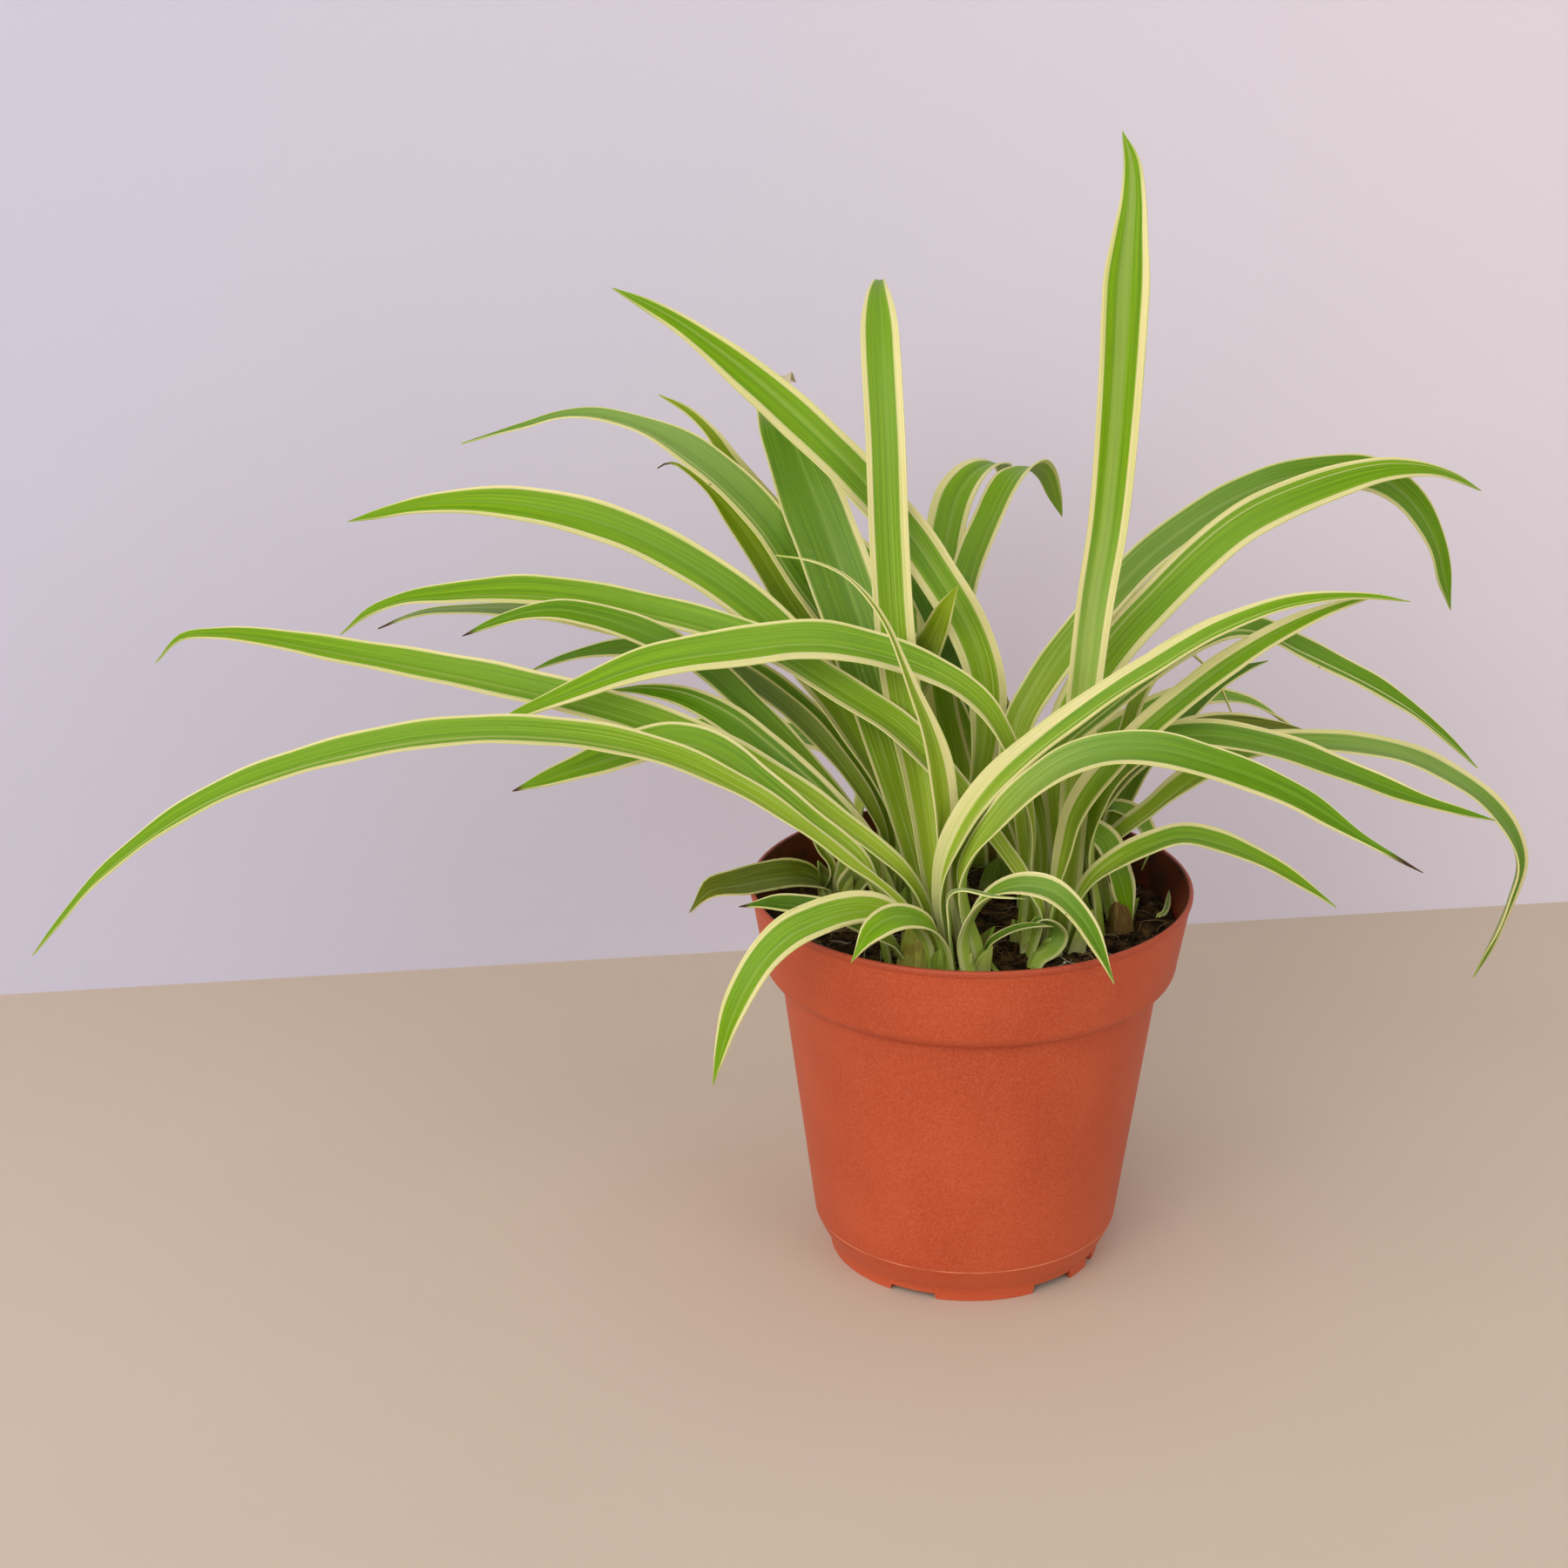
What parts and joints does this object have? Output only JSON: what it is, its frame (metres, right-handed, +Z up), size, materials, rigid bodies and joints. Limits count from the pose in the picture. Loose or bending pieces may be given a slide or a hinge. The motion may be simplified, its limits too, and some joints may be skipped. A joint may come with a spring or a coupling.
{
  "type": "potted spider plant",
  "caption": "Spider plant with long arching striped leaves growing from soil in a plain round nursery pot.",
  "frame": {"origin": "on the standing surface, at the centre of the pot's underside", "axes": "+Z up, out of the pot's mouth; +X to the right and +Y away from the viewer in the picture"},
  "size_m": [0.3944, 0.1942, 0.306],
  "materials": {
    "pot_plastic": "satin",
    "soil": "matte",
    "leaf_variegated": "satin",
    "leaf_dark": "satin",
    "leaf_pale": "satin",
    "leaf_olive": "satin"
  },
  "bodies": {
    "root": {"pot": "pot_plastic", "soil": "soil", "leaf_long_low_left": "leaf_variegated", "leaf_long_upper_left": "leaf_variegated", "leaf_dark_tip_left": "leaf_variegated", "leaf_over_rim_left": "leaf_variegated", "leaf_small_front_left": "leaf_variegated", "leaf_cream_half_right": "leaf_variegated", "leaf_under_cream_right": "leaf_variegated", "leaf_brown_tip_right": "leaf_variegated", "leaf_front_arch_right": "leaf_variegated", "leaf_centre_thin": "leaf_variegated", "leaf_upright_blunt": "leaf_variegated", "leaf_wide_dark": "leaf_dark", "leaf_high_arch_left": "leaf_variegated", "leaf_left_arch": "leaf_variegated", "leaf_thin_behind_left": "leaf_variegated", "leaf_left_broad": "leaf_variegated", "leaf_left_short": "leaf_variegated", "leaf_front_sweep_left": "leaf_variegated", "leaf_left_mid": "leaf_variegated", "leaf_cut_tip_left": "leaf_variegated", "leaf_top_left": "leaf_variegated", "leaf_twisted_left": "leaf_variegated", "leaf_thin_high_left": "leaf_variegated", "leaf_curl_tip_left": "leaf_variegated", "leaf_short_pointed": "leaf_variegated", "leaf_back_arch_left": "leaf_variegated", "leaf_back_arch_right": "leaf_variegated", "leaf_back_left": "leaf_variegated", "leaf_back_dark": "leaf_dark", "leaf_tallest": "leaf_variegated", "leaf_right_steep": "leaf_variegated", "leaf_back_right_fall": "leaf_variegated", "leaf_back_right_long": "leaf_variegated", "leaf_small_pointed": "leaf_variegated", "leaf_green_down_right": "leaf_dark", "leaf_low_right": "leaf_variegated", "leaf_far_right_drop": "leaf_variegated", "leaf_right_arch": "leaf_variegated", "leaf_right_behind": "leaf_variegated", "leaf_right_small": "leaf_variegated", "leaf_right_into_pot": "leaf_dark", "leaf_right_wisp": "leaf_pale", "leaf_olive_left": "leaf_olive", "plantlet_blade_tall": "leaf_pale", "plantlet_blade_thin": "leaf_pale", "plantlet_blade_wide": "leaf_variegated", "plantlet_blade_right": "leaf_pale", "sprout_right": "leaf_pale", "leaf_soil_arch": "leaf_dark", "tendril": "leaf_pale", "leaf_behind_low_left": "leaf_variegated", "leaf_behind_low_right": "leaf_variegated", "leaf_behind_centre": "leaf_variegated", "leaf_behind_mid_left": "leaf_variegated"}
  },
  "joints": []
}
